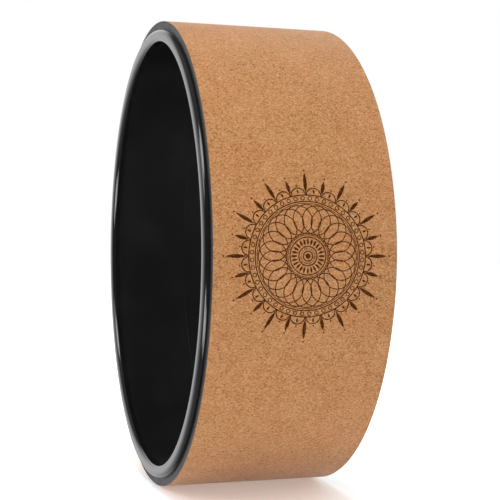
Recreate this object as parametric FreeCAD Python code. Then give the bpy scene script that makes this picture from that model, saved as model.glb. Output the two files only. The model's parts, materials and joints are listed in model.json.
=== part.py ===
import FreeCAD, Part
import math
import os

# Yoga wheel: a hollow moulded hoop in two halves, wrapped in a foam pad and a cork cover.
# The wheel's axis is Y, +Z is up, and the origin is the wheel's centre. Lengths are in millimetres.

# Overall sizes
wheel_diameter = 330.0  # over the cork
wheel_width = 125.0  # over the two lips
lip_stand_out = 4.0  # each lip past the tread's edge

# Tread layers, from the outside in
cork_thickness = 0.5
foam_thickness = 4.7
film_thickness = 0.2
glue_line = 0.1  # between the film and the hoop
seam_gap = 0.4  # where a strip's two ends meet

# Hoop section
rim_depth = 9.5  # from the bore to the hoop's outside
wall = 3.0
lip_flat = 1.5  # flat ring left on the crest of the lip
lip_facets = 4  # short flats in each quarter round of the lip
core_chamfer = 1.0  # under the lip, where the hollow between the walls ends
seam_chamfer = 0.4  # on the bore, where the halves meet

# Webs that tie the hoop's two walls together
web_count = 16
web_thickness = 2.0
web_setback = 1.0  # from the joint between the halves

# Tongues and slots that line the halves up, in bosses between the walls
boss_count = 8
boss_width = 14.0
boss_depth = 12.0
tongue_width = 9.0
tongue_thickness = 2.0
tongue_length = 7.0
slot_clearance = 0.15  # all round the tongue
slot_end_gap = 0.8  # left under a seated tongue

overrun = 1.0  # how far a cutting shape passes the face that it opens

# Worked out from the sizes above
half_width = wheel_width / 2
tread_width = wheel_width - 2 * lip_stand_out
cork_radius = wheel_diameter / 2
foam_radius = cork_radius - cork_thickness
pad_radius = foam_radius - foam_thickness
film_radius = pad_radius - film_thickness
hoop_radius = film_radius - glue_line
bore_radius = hoop_radius - rim_depth
lip_radius = (rim_depth - lip_flat) / 2
hollow_inner = bore_radius + wall
hollow_outer = hoop_radius - wall
hollow_middle = (hollow_inner + hollow_outer) / 2

full_turn = 360.0
half_turn = 180.0
quarter_turn = math.pi / 2
origin = FreeCAD.Vector(0, 0, 0)
wheel_axis = FreeCAD.Vector(0, 1, 0)
flip_axis = FreeCAD.Vector(1, 0, 0)


def at(radius, along):
    return FreeCAD.Vector(radius, along, 0)


def quarter_round(start, centre, end):
    """Points after start on the quarter circle from start to end."""
    turns = [quarter_turn * (i + 1) / lip_facets for i in range(lip_facets)]
    return [centre + (start - centre) * math.cos(t) + (end - centre) * math.sin(t) for t in turns]


def revolved(points):
    outline = Part.makePolygon(points + points[:1])
    return Part.Face(outline).revolve(origin, wheel_axis, full_turn)


def hoop_blank():
    """Half hoop before it is cored: from the joint to a lip rounded on both sides of a narrow flat."""
    shoulder = half_width - lip_radius
    inner_centre = at(bore_radius + lip_radius, shoulder)
    outer_centre = at(hoop_radius - lip_radius, shoulder)
    bore_end = at(bore_radius, shoulder)
    crest_inner = at(bore_radius + lip_radius, half_width)
    crest_outer = at(hoop_radius - lip_radius, half_width)
    seat_end = at(hoop_radius, shoulder)
    outline = [at(bore_radius + seam_chamfer, 0), at(bore_radius, seam_chamfer), bore_end]
    outline += quarter_round(bore_end, inner_centre, crest_inner)
    outline += [crest_outer]
    outline += quarter_round(crest_outer, outer_centre, seat_end)
    outline += [at(hoop_radius, 0)]
    return revolved(outline)


def hoop_core():
    """Space between the two walls, open at the joint and chamfered under the lip."""
    floor = half_width - wall
    return revolved([
        at(hollow_inner, -overrun),
        at(hollow_inner, floor - core_chamfer),
        at(hollow_inner + core_chamfer, floor),
        at(hollow_outer - core_chamfer, floor),
        at(hollow_outer, floor - core_chamfer),
        at(hollow_outer, -overrun),
    ])


def block(inner_radius, radial, start, along, width):
    """Box across the +X radius, from start along the axis."""
    return Part.makeBox(radial, along, width, FreeCAD.Vector(inner_radius, start, -width / 2))


def web():
    return block(bore_radius, rim_depth, web_setback, half_width, web_thickness)


def boss():
    return block(bore_radius, rim_depth, 0, boss_depth, boss_width)


def tongue():
    """Tongue rooted in its boss, reaching past the joint."""
    inner = hollow_middle - tongue_thickness / 2
    return block(inner, tongue_thickness, -tongue_length, tongue_length + boss_depth, tongue_width)


def slot():
    thickness = tongue_thickness + 2 * slot_clearance
    width = tongue_width + 2 * slot_clearance
    depth = tongue_length + slot_end_gap
    return block(hollow_middle - thickness / 2, thickness, -overrun, depth + overrun, width)


def patterned(shape, count, first=0, every=1):
    """Copies spaced evenly round the axis, half a step from +X."""
    step = full_turn / count
    copies = []
    for i in range(first, count, every):
        copy = shape.copy()
        copy.rotate(origin, wheel_axis, (i + 0.5) * step)
        copies.append(copy)
    return copies


def half_hoop():
    """Right half. Tongues and slots take turns, so that a copy turned over about X mates with it."""
    kept = patterned(web(), web_count) + patterned(boss(), boss_count)
    pockets = hoop_core().cut(kept)
    slots = patterned(slot(), boss_count, first=1, every=2)
    tongues = patterned(tongue(), boss_count, first=0, every=2)
    return hoop_blank().cut([pockets] + slots).fuse(tongues).removeSplitter()


def turned_over(shape):
    copy = shape.copy()
    copy.rotate(origin, flip_axis, half_turn)
    return copy


def strip(inner_radius, thickness):
    """A strip wrapped once round, with its butt joint on the -X side."""
    outer_radius = inner_radius + thickness
    start = at(0, -tread_width / 2)
    ring = Part.makeCylinder(outer_radius, tread_width, start, wheel_axis)
    ring = ring.cut(Part.makeCylinder(inner_radius, tread_width, start, wheel_axis))
    cut_start = -tread_width / 2 - overrun
    cut_width = tread_width + 2 * overrun
    return ring.cut(block(-outer_radius - overrun, outer_radius, cut_start, cut_width, seam_gap))


right_half = half_hoop()
nodes = {
    "right_half_hoop": right_half,
    "left_half_hoop": turned_over(right_half),
    "bonding_film": strip(film_radius, film_thickness),
    "foam_pad": strip(pad_radius, foam_thickness),
    "cork_cover": strip(foam_radius, cork_thickness),
}

os.makedirs("parts", exist_ok=True)
for name, shape in nodes.items():
    shape.exportStep("parts/" + name + ".step")
    print(name, len(shape.Solids), "solid", round(shape.Volume), "mm3", "valid" if shape.isValid() else "broken")
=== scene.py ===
import json
import math

import bmesh
import bpy
from mathutils import Matrix, Vector


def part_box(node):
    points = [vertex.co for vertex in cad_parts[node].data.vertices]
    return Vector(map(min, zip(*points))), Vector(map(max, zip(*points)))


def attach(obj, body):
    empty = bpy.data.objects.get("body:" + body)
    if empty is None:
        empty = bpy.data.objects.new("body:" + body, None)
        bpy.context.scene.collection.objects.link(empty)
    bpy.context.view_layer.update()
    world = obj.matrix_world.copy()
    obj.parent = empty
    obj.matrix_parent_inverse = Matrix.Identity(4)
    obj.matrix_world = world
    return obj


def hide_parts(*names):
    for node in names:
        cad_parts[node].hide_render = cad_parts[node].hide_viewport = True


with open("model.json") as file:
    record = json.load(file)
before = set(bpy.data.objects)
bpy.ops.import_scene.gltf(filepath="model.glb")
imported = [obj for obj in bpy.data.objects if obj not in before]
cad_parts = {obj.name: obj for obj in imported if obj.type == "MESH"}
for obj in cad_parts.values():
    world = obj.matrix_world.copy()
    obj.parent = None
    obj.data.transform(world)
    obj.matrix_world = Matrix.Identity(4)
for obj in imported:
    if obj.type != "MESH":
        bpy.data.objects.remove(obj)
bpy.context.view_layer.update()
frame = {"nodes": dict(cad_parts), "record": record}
mm = 0.001
origin = Vector((0, 0, 0))
wheelAxis = Vector((0, 1, 0))


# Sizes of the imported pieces, in metres
def reachOf(node):
    return max(math.hypot(point.co.x, point.co.z) for point in frame["nodes"][node].data.vertices)


boreMount = next(mount for mount in frame["record"]["mounts"] if mount["name"] == "bore")
wheel = {
    "corkRadius": reachOf("cork_cover"),
    "foamRadius": reachOf("foam_pad"),
    "filmRadius": reachOf("bonding_film"),
    "hoopRadius": reachOf("right_half_hoop"),
    "boreRadius": boreMount["dims"]["r_mm"] * mm,
    "treadHalf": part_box("cork_cover")[1].y,
    "widthHalf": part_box("right_half_hoop")[1].y,
    "ground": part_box("cork_cover")[0].z,
}
print("frame loaded:", ", ".join(sorted(frame["nodes"])))


class Signal:  # a socket that takes part in sums
    def __init__(self, tree, socket=None):
        self.tree = tree
        self.socket = socket

    def node(self, kind, settings=None, inputs=None, output=0):
        made = self.tree.nodes.new(kind)
        for name, value in (settings or {}).items():
            if name == "stops":
                self.setStops(made.color_ramp, value)
            else:
                setattr(made, name, value)
        for name, value in (inputs or {}).items():
            if isinstance(value, Signal):
                self.tree.links.new(value.socket, made.inputs[name])
            else:
                made.inputs[name].default_value = value
        return Signal(self.tree, made.outputs[output] if made.outputs else None)

    def setStops(self, ramp, stops):
        while len(ramp.elements) < len(stops):
            ramp.elements.new(0.5)
        for element, (position, colour) in zip(ramp.elements, stops):
            element.position = position
            element.color = colour

    def sum(self, operation, *terms):
        return self.node("ShaderNodeMath", {"operation": operation}, dict(enumerate(terms)))

    def blend(self, factor, first, second, way="MIX"):  # sockets 6, 7 and 2 are the colour ones
        settings = {"data_type": "RGBA", "blend_type": way}
        return self.node("ShaderNodeMix", settings, {0: factor, 6: first, 7: second}, 2)

    def step(self, low, high):  # 0 below low, 1 above high, smooth between
        settings = {"interpolation_type": "SMOOTHSTEP"}
        return self.node("ShaderNodeMapRange", settings, {"Value": self, "From Min": low, "From Max": high})

    def axis(self, letter):  # of a vector
        return self.node("ShaderNodeSeparateXYZ", inputs={"Vector": self}, output=letter)

    def channel(self, name):  # of a colour
        return self.node("ShaderNodeSeparateColor", inputs={"Color": self}, output=name)

    def ray(self, kind):  # 1 for rays of this kind
        return self.node("ShaderNodeLightPath", output="Is " + kind + " Ray")

    def plainView(self):  # 1 for rays from the camera or through glass
        return self.sum("MINIMUM", self.ray("Camera") + self.ray("Transmission"), 1.0)

    def __add__(self, other):
        return self.sum("ADD", self, other)

    def __radd__(self, other):
        return self.sum("ADD", other, self)

    def __sub__(self, other):
        return self.sum("SUBTRACT", self, other)

    def __rsub__(self, other):
        return self.sum("SUBTRACT", other, self)

    def __mul__(self, other):
        return self.sum("MULTIPLY", self, other)

    def __rmul__(self, other):
        return self.sum("MULTIPLY", other, self)

    def __abs__(self):
        return self.sum("ABSOLUTE", self)


def startMaterial(name):
    material = bpy.data.materials.new(name)
    material.use_nodes = True
    material.node_tree.nodes.clear()
    shade = Signal(material.node_tree)
    place = shade.node("ShaderNodeTexCoord", output="Object")
    return material, shade, place


def closeMaterial(shade, inputs, height=None, relief=0.0, strength=1.0):
    if height is not None:
        bump = {"Height": height, "Distance": relief, "Strength": strength}
        inputs["Normal"] = shade.node("ShaderNodeBump", inputs=bump)
    skin = shade.node("ShaderNodeBsdfPrincipled", inputs=inputs)
    shade.node("ShaderNodeOutputMaterial", inputs={"Surface": skin})


def noise(shade, place, size, detail=2.0, roughness=0.5):
    inputs = {"Vector": place, "Scale": 1 / size, "Detail": detail, "Roughness": roughness}
    return shade.node("ShaderNodeTexNoise", {"noise_dimensions": "3D"}, inputs)


def cells(shade, place, size, output):
    inputs = {"Vector": place, "Scale": 1 / size, "Randomness": 1.0}
    return shade.node("ShaderNodeTexVoronoi", {"feature": "F1"}, inputs, output)


def opaque(red, green, blue):
    return (red, green, blue, 1.0)


# Rings turned about the wheel's axis
ring = {
    "steps": 384,
    "seamGap": 0.4 * mm,  # where a strip's two ends meet
    "sharp": math.radians(35),  # edges past this angle stay crisp
}


def roundedSection(mesh, corners, segments):
    points = [mesh.verts.new((radius, along, 0)) for radius, along, rounding in corners]
    mesh.faces.new(points)
    for point, (radius, along, rounding) in zip(points, corners):
        if rounding:
            bmesh.ops.bevel(mesh, geom=[point], offset=rounding, offset_type="OFFSET", segments=segments,
                            profile=0.5, affect="VERTICES", material=-1)


def turnedRing(mesh, gap=0.0):  # a gap leaves a butt joint on the -X side
    start = Matrix.Rotation(math.pi + gap / 2, 3, wheelAxis)
    bmesh.ops.rotate(mesh, verts=mesh.verts[:], cent=origin, matrix=start)
    if not gap:
        bmesh.ops.delete(mesh, geom=mesh.faces[:], context="FACES_ONLY")
    section = mesh.verts[:] + mesh.edges[:] + mesh.faces[:]
    bmesh.ops.spin(mesh, geom=section, cent=origin, axis=wheelAxis, angle=math.tau - gap,
                   steps=ring["steps"], use_merge=not gap)
    bmesh.ops.recalc_face_normals(mesh, faces=mesh.faces[:])


def addToScene(made):
    bpy.context.scene.collection.objects.link(made)


def meshObject(mesh, name, material):
    data = bpy.data.meshes.new(name)
    mesh.to_mesh(data)
    mesh.free()
    data.materials.append(material)
    made = bpy.data.objects.new(name, data)
    addToScene(made)
    return made


def finishPiece(mesh, name, material, replaced=None):
    piece = meshObject(mesh, name, material)
    piece.data.shade_smooth()
    piece.data.set_sharp_from_angle(angle=ring["sharp"])
    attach(piece, "root")
    if replaced:
        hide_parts(replaced)
    print("made", name, "with", len(piece.data.polygons), "faces")
    return piece


# Hoop: two black mouldings with rounded lips
hoop = {
    "lipRadius": 4.0 * mm,
    "lipSegments": 16,
    "seamChamfer": 0.1 * mm,  # on the bore, where the halves meet
    "black": opaque(0.0068, 0.0068, 0.0071),
    "haze": opaque(0.0100, 0.0100, 0.0104),
    "hazeSize": 35 * mm,
    "hazeSpread": (0.4, 0.75),
    "lipRoughness": 0.07,
    "boreRoughness": 0.34,  # satin inside
    "hazeRoughness": 0.05,  # added where the moulding is hazy
    "polishWidth": 4 * mm,  # over which satin turns to gloss beside a lip
    "ripple": 0.01 * mm,
    "rippleSize": 14 * mm,
    "rippleStrength": 0.3,
    "ior": 1.5,
}


def hoopPlastic():
    material, shade, place = startMaterial("black moulded plastic")
    haze = noise(shade, place, hoop["hazeSize"], detail=3.0, roughness=0.6).step(*hoop["hazeSpread"])
    ripple = noise(shade, place, hoop["rippleSize"], detail=1.0)
    tread = wheel["treadHalf"]
    polished = abs(place.axis("Y")).step(tread - hoop["polishWidth"], tread)
    gloss = hoop["boreRoughness"] - polished * (hoop["boreRoughness"] - hoop["lipRoughness"])
    inputs = {
        "Base Color": shade.blend(haze, hoop["black"], hoop["haze"]),
        "Roughness": haze * hoop["hazeRoughness"] + gloss,
        "IOR": hoop["ior"],
    }
    closeMaterial(shade, inputs, ripple, hoop["ripple"], hoop["rippleStrength"])
    return material


def halfHoop(side, node, material):
    bore, outside = wheel["boreRadius"], wheel["hoopRadius"]
    end = side * wheel["widthHalf"]
    mesh = bmesh.new()
    roundedSection(mesh, [
        (bore, 0, hoop["seamChamfer"]),
        (bore, end, hoop["lipRadius"]),
        (outside, end, hoop["lipRadius"]),
        (outside, 0, 0),
    ], hoop["lipSegments"])
    turnedRing(mesh)
    finishPiece(mesh, "shown_" + node, material, node)


plastic = hoopPlastic()
halfHoop(-1, "left_half_hoop", plastic)
halfHoop(1, "right_half_hoop", plastic)


# Bonding film: only its edge can be seen, in the groove beside each lip
film = {
    "tint": opaque(0.022, 0.021, 0.02),
    "dust": opaque(0.045, 0.043, 0.04),
    "dustSize": 2 * mm,
    "dustSpread": (0.45, 0.7),
    "roughness": 0.4,
}


def clearFilm():
    material, shade, place = startMaterial("adhesive film edge")
    dust = noise(shade, place, film["dustSize"], detail=3.0).step(*film["dustSpread"])
    inputs = {"Base Color": shade.blend(dust, film["tint"], film["dust"]), "Roughness": film["roughness"]}
    closeMaterial(shade, inputs)
    return material


filmNode = frame["nodes"]["bonding_film"]
filmNode.data.materials.clear()
filmNode.data.materials.append(clearFilm())
print("film edge coloured")


# Foam pad: a closed-cell strip with crowned edges
foam = {
    "crown": 0.35 * mm,  # how far the middle of an edge stands past its corners
    "crownShare": 1 / 2.6,  # of the thickness, rounded on each side of that middle
    "crownSegments": 6,
    "grey": opaque(0.014, 0.016, 0.019),
    "pale": opaque(0.022, 0.025, 0.029),
    "patchSize": 12 * mm,
    "patchSpread": (0.35, 0.7),
    "roughness": 0.58,
    "patchRoughness": 0.08,  # added on pale patches
    "cellSize": 0.35 * mm,
    "cellDepth": 0.05 * mm,
    "cellStrength": 0.35,
    "ior": 1.38,
}


def foamSkin():
    material, shade, place = startMaterial("closed cell foam")
    patch = noise(shade, place, foam["patchSize"], detail=3.0).step(*foam["patchSpread"])
    pit = cells(shade, place, foam["cellSize"], "Distance")
    inputs = {
        "Base Color": shade.blend(patch, foam["grey"], foam["pale"]),
        "Roughness": patch * foam["patchRoughness"] + foam["roughness"],
        "IOR": foam["ior"],
    }
    closeMaterial(shade, inputs, pit, foam["cellDepth"], foam["cellStrength"])
    return material


def foamPad():
    inner, outer, half = wheel["filmRadius"], wheel["foamRadius"], wheel["treadHalf"]
    middle, corner = (inner + outer) / 2, half - foam["crown"]
    swell = (outer - inner) * foam["crownShare"]
    mesh = bmesh.new()
    roundedSection(mesh, [
        (inner, -corner, 0),
        (middle, -half, swell),
        (outer, -corner, 0),
        (outer, corner, 0),
        (middle, half, swell),
        (inner, corner, 0),
    ], foam["crownSegments"])
    turnedRing(mesh, ring["seamGap"] / outer)
    piece = finishPiece(mesh, "shown_foam_pad", foamSkin(), "foam_pad")


foamPad()


# Cork cover: fine pressed cork with soft cut edges
cork = {
    "edgeRound": 0.15 * mm,
    "edgeSegments": 4,
    "bark": opaque(0.265, 0.09, 0.0165),
    "body": opaque(0.487, 0.2225, 0.0765),
    "pale": opaque(0.63, 0.345, 0.17),
    "toneStops": (0.18, 0.42, 0.58, 0.84),  # for bark, body, body and pale
    "grain": 0.8 * mm,
    "grainScale": (1.15, 0.78, 1.15),  # grains are longer across the tread
    "crumb": 0.5 * mm,
    "crumbShare": 0.45,  # of the tone, the rest being the grains'
    "drift": 0.24,  # slow change of tone
    "driftSize": 26 * mm,
    "orange": opaque(1.01, 0.98, 0.98),  # the tint drifts between these two
    "golden": opaque(0.99, 1.02, 1.02),
    "tintSize": 22 * mm,
    "tintSpread": (0.35, 0.65),
    "fleck": 1.9 * mm,
    "fleckEdge": (0.10, 0.32),
    "fleckChoice": (0.62, 0.85),  # few cells hold a fleck
    "fleckDark": 0.5,
    "fleckDepth": 0.6,
    "cutEdge": opaque(0.055, 0.043, 0.038),  # darker on the cork's edge faces and a thin band of tread beside them
    "cutFrom": 0.3 * mm,  # inside the edge, where the darkening starts
    "cutFull": 0.1 * mm,
    "cutDark": 0.9,
    "roughness": 0.72,
    "toneRoughness": 0.15,  # added on pale grains
    "sheen": 0.2,
    "sheenRoughness": 0.45,
    "ior": 1.45,
    "pitDepth": 0.12 * mm,
    "pitStrength": 0.35,
}


def corkGrain(shade, place):
    place = shade.node("ShaderNodeMapping", inputs={"Vector": place, "Scale": cork["grainScale"]})
    grains = cells(shade, place, cork["grain"], "Color").channel("Red")
    crumbs = noise(shade, place, cork["crumb"], detail=2.0, roughness=0.6)
    return grains * (1 - cork["crumbShare"]) + crumbs * cork["crumbShare"]


def corkColour(shade, place, tone, fleck):
    drift = noise(shade, place, cork["driftSize"], detail=4.0, roughness=0.6) - 0.5
    shades = (cork["bark"], cork["body"], cork["body"], cork["pale"])
    stops = list(zip(cork["toneStops"], shades))
    colour = shade.node("ShaderNodeValToRGB", {"stops": stops}, {"Fac": tone + drift * cork["drift"]})
    colour = shade.blend(fleck * cork["fleckDark"], colour, cork["bark"])
    warmth = noise(shade, place, cork["tintSize"]).step(*cork["tintSpread"])
    tint = shade.blend(warmth, cork["orange"], cork["golden"])
    colour = shade.blend(1.0, colour, tint, "MULTIPLY")
    # darker towards the tread's two edges, fullest on the edge faces
    tread = wheel["treadHalf"]
    cut = abs(place.axis("Y")).step(tread - cork["cutFrom"], tread - cork["cutFull"])
    return shade.blend(cut * cork["cutDark"], colour, cork["cutEdge"])


def corkSkin():
    material, shade, place = startMaterial("pressed cork")
    tone = corkGrain(shade, place)
    fleckShape = cells(shade, place, cork["fleck"], "Distance")
    fleckChoice = cells(shade, place, cork["fleck"], "Color").channel("Green")
    fleck = (1 - fleckShape.step(*cork["fleckEdge"])) * fleckChoice.step(*cork["fleckChoice"])
    inputs = {
        "Base Color": corkColour(shade, place, tone, fleck),
        "Roughness": cork["roughness"] + tone * cork["toneRoughness"],
        "IOR": cork["ior"],
        "Sheen Weight": cork["sheen"],
        "Sheen Roughness": cork["sheenRoughness"],
    }
    closeMaterial(shade, inputs, tone - fleck * cork["fleckDepth"], cork["pitDepth"], cork["pitStrength"])
    return material


def corkCover():
    inner, outer, half = wheel["foamRadius"], wheel["corkRadius"], wheel["treadHalf"]
    mesh = bmesh.new()
    roundedSection(mesh, [
        (inner, -half, 0),
        (outer, -half, cork["edgeRound"]),
        (outer, half, cork["edgeRound"]),
        (inner, half, 0),
    ], cork["edgeSegments"])
    turnedRing(mesh, ring["seamGap"] / outer)
    finishPiece(mesh, "shown_cork_cover", corkSkin(), "cork_cover")


corkCover()


# Print: a sunburst round a lattice of interlaced rings, in ink that follows the cork
ink = {
    "dark": opaque(0.058, 0.0165, 0.0045),
    "worn": opaque(0.125, 0.047, 0.016),
    "wornSpread": (0.45, 0.8),  # on the paler grains
    "roughness": 0.7,
    "toneRoughness": 0.2,
    "pressStrength": 0.25,  # of the cork's grain, felt through the ink
    "along": 0.5 * mm,  # of the centre from the middle of the tread
    "proud": 0.05 * mm,
    "thickness": 0.08 * mm,
    "layer": 0.004 * mm,  # each crossing line lies over the last
    # The flat drawing, in millimetres, with weights as shares of the line
    "fold": 24,
    "line": 0.7,
    "hub": {"at": 0.0, "radius": 1.6},
    "rings": [(3.0, 1), (5.8, 1), (11.4, 1), (12.7, 0.6), (31.9, 0.6), (33.1, 1), (37.1, 1)],
    "seed": {"at": 4.4, "radius": 0.35},
    "petal": {"at": 6.6, "length": 4.2, "width": 1.3},
    "lattice": {"at": 22.3, "radius": 8.9, "weight": 0.85, "layers": 4},
    "bead": {"at": 35.1, "radius": 1.2, "weight": 0.8},
    "scallop": {"at": 37.1, "radius": 4.6, "layer": 5},
    "bud": {"at": 38.0, "length": 3.0, "width": 1.2},
    "budTip": {"at": 43.0, "radius": 0.5},
    "rays": [
        {"at": 38.4, "length": 13.0, "width": 2.3, "tip": {"at": 52.8, "radius": 0.55}},
        {"at": 38.4, "length": 9.0, "width": 2.3, "tip": {"at": 48.8, "radius": 0.55}},
    ],
    "arcStep": 1.2,  # the longest straight stretch of a ring
    "arcFewest": 8,
    "dotSides": 12,
    "raySteps": 10,
    "weld": 0.001,
}


def inkSkin():
    material, shade, place = startMaterial("brown printing ink")
    tone = corkGrain(shade, place)
    inputs = {
        "Base Color": shade.blend(tone.step(*ink["wornSpread"]), ink["dark"], ink["worn"]),
        "Roughness": ink["roughness"] + tone * ink["toneRoughness"],
        "Specular IOR Level": 0.0,
    }
    closeMaterial(shade, inputs, tone, cork["pitDepth"], ink["pressStrength"])
    return material


def spot(distance, angle):  # on the flat drawing
    return Vector((math.cos(angle), math.sin(angle), 0)) * distance * mm


def inkRing(mesh, layer, centre, radius, width, start=0.0, sweep=math.tau):
    middle = centre + Vector((0, 0, layer * ink["layer"]))
    ends = [mesh.verts.new(middle + spot(radius + side * width / 2, start)) for side in (-1, 1)]
    edge = mesh.edges.new(ends)
    steps = max(ink["arcFewest"], round(radius * sweep / ink["arcStep"]))
    bmesh.ops.spin(mesh, geom=ends + [edge], cent=middle, axis=(0, 0, 1), angle=sweep, steps=steps,
                   use_merge=sweep == math.tau)


def inkDot(mesh, angle, look):
    place = Matrix.Translation(spot(look["at"], angle))
    bmesh.ops.create_circle(mesh, cap_ends=True, segments=ink["dotSides"], radius=look["radius"] * mm,
                            matrix=place)


def inkRay(mesh, angle, look):  # pointed at both ends
    points = bmesh.ops.create_grid(mesh, x_segments=ink["raySteps"], y_segments=2, size=1)["verts"]
    for point in points:
        point.co.y *= (1 - point.co.x ** 2) * look["width"] * mm / 2
        point.co.x = (look["at"] + (point.co.x + 1) * look["length"] / 2) * mm
    bmesh.ops.rotate(mesh, verts=points, cent=origin, matrix=Matrix.Rotation(angle, 3, "Z"))
    bmesh.ops.remove_doubles(mesh, verts=points, dist=ink["weld"] * mm)


def drawRosette(mesh):
    line, step = ink["line"], math.tau / ink["fold"]
    lattice, bead, scallop = ink["lattice"], ink["bead"], ink["scallop"]
    inkDot(mesh, 0, ink["hub"])
    for radius, weight in ink["rings"]:
        inkRing(mesh, 0, origin, radius, line * weight)
    for k in range(ink["fold"]):
        turn, between = k * step, (k + 0.5) * step
        layer = 1 + k % lattice["layers"]
        inkRing(mesh, layer, spot(lattice["at"], turn), lattice["radius"], line * lattice["weight"])
        inkRay(mesh, turn, ink["petal"])
        inkDot(mesh, turn, ink["seed"])
        for side in (-0.25, 0.25):
            centre = spot(bead["at"], between + side * step)
            inkRing(mesh, 0, centre, bead["radius"], line * bead["weight"])
        inkRing(mesh, scallop["layer"], spot(scallop["at"], between), scallop["radius"], line,
                between - math.pi / 2, math.pi)
        inkRay(mesh, between, ink["bud"])
        inkDot(mesh, between, ink["budTip"])
        ray = ink["rays"][k % 2]  # long and short take turns
        inkRay(mesh, turn, ray)
        inkDot(mesh, turn, ray["tip"])


def wrapRound(mesh):  # from the flat drawing to the tread
    top = max(point.co.z for point in mesh.verts)
    for point in mesh.verts:
        radius = wheel["corkRadius"] + ink["proud"] + point.co.z - top
        angle = point.co.y / wheel["corkRadius"]
        point.co = (radius * math.cos(angle), point.co.x + ink["along"], radius * math.sin(angle))


def corkPrint():
    mesh = bmesh.new()
    drawRosette(mesh)
    mesh.normal_update()
    for face in mesh.faces:
        if face.normal.z < 0:
            face.normal_flip()
    bmesh.ops.solidify(mesh, geom=mesh.faces[:], thickness=ink["thickness"])
    wrapRound(mesh)
    bmesh.ops.recalc_face_normals(mesh, faces=mesh.faces[:])
    finishPiece(mesh, "cork_print", inkSkin())


corkPrint()


# Stage: white floor that glows a little, white surround and three soft lamps
stage = {
    "floorRadius": 9.0,
    "floorSides": 96,
    "floor": opaque(0.92, 0.92, 0.92),
    "seenFloor": opaque(1.16, 1.18, 1.2),  # by the camera
    "glow": 0.25,
}


def floor():
    mesh = bmesh.new()
    bmesh.ops.create_circle(mesh, cap_ends=True, segments=stage["floorSides"], radius=stage["floorRadius"],
                            matrix=Matrix.Translation((0, 0, wheel["ground"])))
    material, shade, _ = startMaterial("white floor")
    closeMaterial(shade, {
        "Base Color": shade.blend(shade.plainView(), stage["floor"], stage["seenFloor"]),
        "Roughness": 1.0,
        "Specular IOR Level": 0.0,
        "Emission Color": opaque(1, 1, 1),
        "Emission Strength": stage["glow"],
    })
    made = meshObject(mesh, "floor", material)
    made.visible_glossy = False  # the room below stands for it in gloss


surround = {
    "white": 1.0,  # as the camera sees it
    "fill": 0.84,  # as matt surfaces are lit by it
    "shade": 0.5,  # how much less of that comes from in front
    "shadeFade": (0.3, 0.95),
    "dark": 0.10,  # ceiling, floor and front of the room, as gloss shows them
    "wall": 0.82,  # the wall behind, on top of that
    "wallEnd": (-0.2, 0.4),  # towards the front
    "wallTop": (0.45, 0.7),
    "wallFoot": (-0.85, -0.65),
    "rise": 0.5,  # how much brighter the wall gets towards the ceiling
    "glow": 1.2,  # where the left of the wall is lit
    "glowTowards": (-0.66, -0.75, -0.08),
    "glowFade": (0.72, 1.0),
    "spill": 0.3,  # on the left of ceiling and floor
    "spillSide": (0.1, 0.35),
    "spillTilt": (0.6, 0.8),
    "panels": {  # towards each, and how bright it is
        "left high": ((0.25, -0.83, 0.50), 4.5),
        "left higher": ((0.42, -0.60, 0.68), 7.5),
        "left low": ((0.53, -0.73, -0.42), 8.0),
        "left lower": ((0.69, -0.45, -0.57), 5.5),
    },
    "panelFade": (0.97, 0.99),
}


def room():
    world = bpy.data.worlds.new("white room")
    world.use_nodes = True
    world.node_tree.nodes.clear()
    bpy.context.scene.world = world
    shade = Signal(world.node_tree)
    towards = shade.node("ShaderNodeTexCoord", output="Generated")
    front, right, height = towards.axis("X"), towards.axis("Y"), towards.axis("Z")

    def facing(direction):
        inputs = {0: towards, 1: Vector(direction).normalized()}
        return shade.node("ShaderNodeVectorMath", {"operation": "DOT_PRODUCT"}, inputs, "Value")

    behind = 1 - front.step(*surround["wallEnd"])
    wall = behind * (1 - height.step(*surround["wallTop"])) * height.step(*surround["wallFoot"])
    mirrored = surround["dark"] + wall * (surround["wall"] + height * surround["rise"])
    mirrored = mirrored + facing(surround["glowTowards"]).step(*surround["glowFade"]) * surround["glow"]
    beside = (0 - right).step(*surround["spillSide"]) * abs(height).step(*surround["spillTilt"])
    mirrored = mirrored + beside * surround["spill"]
    for direction, brightness in surround["panels"].values():
        mirrored = mirrored + facing(direction).step(*surround["panelFade"]) * brightness
    fill = surround["fill"] * (1 - front.step(*surround["shadeFade"]) * surround["shade"])
    glossy, plain = shade.ray("Glossy"), shade.plainView()
    level = plain * surround["white"] + (1 - plain) * (glossy * mirrored + (1 - glossy) * fill)
    light = shade.node("ShaderNodeBackground", inputs={"Color": opaque(1, 1, 1), "Strength": level})
    shade.node("ShaderNodeOutputWorld", inputs={"Surface": light})


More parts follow.
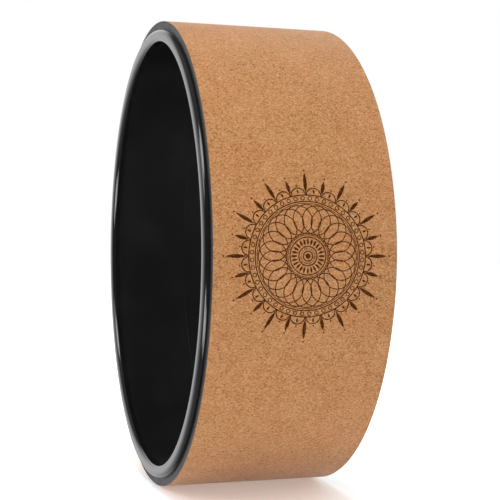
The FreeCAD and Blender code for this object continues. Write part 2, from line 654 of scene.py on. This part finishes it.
lamps = {
    "top": {"at": (0.4, -0.1, 1.4), "aim": (0.1, 0, 0.1), "size": 0.8, "watts": 8.6},
    "left": {"at": (0.63, -1.19, 0.87), "aim": (0, 0, 0), "size": 0.6, "watts": 3.0},
    "back": {"at": (-1.5, 0.3, 0.8), "aim": (0, 0, 0), "size": 0.6, "watts": 3.0},
}


def softLamp(name, look):
    data = bpy.data.lights.new(name + " lamp", "AREA")
    data.shape = "SQUARE"
    data.size = look["size"]
    data.energy = look["watts"]
    lamp = bpy.data.objects.new(name + "_lamp", data)
    lamp.location = look["at"]
    lamp.rotation_mode = "QUATERNION"
    lamp.rotation_quaternion = (Vector(look["aim"]) - Vector(look["at"])).to_track_quat("-Z", "Y")
    lamp.visible_camera = False
    lamp.visible_glossy = False
    addToScene(lamp)


floor()
room()
for lampName, lampLook in lamps.items():
    softLamp(lampName, lampLook)
print("stage set")


# Camera, at the photograph's angle
eye = {
    "azimuth": math.radians(73.08),
    "elevation": math.radians(0.29),
    "tilt": math.radians(0.254),  # about the line of sight
    "distance": 840.7 * mm,
    "right": 13.73 * mm,  # of the wheel's centre
    "up": 2.71 * mm,
    "lens": 82.05,
    "sensor": 36.0,
    "nearest": 0.01,
    "farthest": 100,
}


def setCamera():
    turn, rise = eye["azimuth"], eye["elevation"]
    back = Vector((math.sin(turn) * math.cos(rise), -math.cos(turn) * math.cos(rise), math.sin(rise)))
    right = Vector((math.cos(turn), math.sin(turn), 0))
    up = back.cross(right)
    data = bpy.data.cameras.new("camera")
    data.lens = eye["lens"]
    data.sensor_width = eye["sensor"]
    data.clip_start = eye["nearest"]
    data.clip_end = eye["farthest"]
    camera = bpy.data.objects.new("camera", data)
    addToScene(camera)
    stand = back * eye["distance"] + right * eye["right"] + up * eye["up"]
    turned = Matrix((right, up, back)).transposed() @ Matrix.Rotation(eye["tilt"], 3, "Z")
    camera.matrix_world = Matrix.Translation(stand) @ turned.to_4x4()
    bpy.context.scene.camera = camera


setCamera()
bpy.context.scene.view_settings.view_transform = "Standard"
print("camera set")
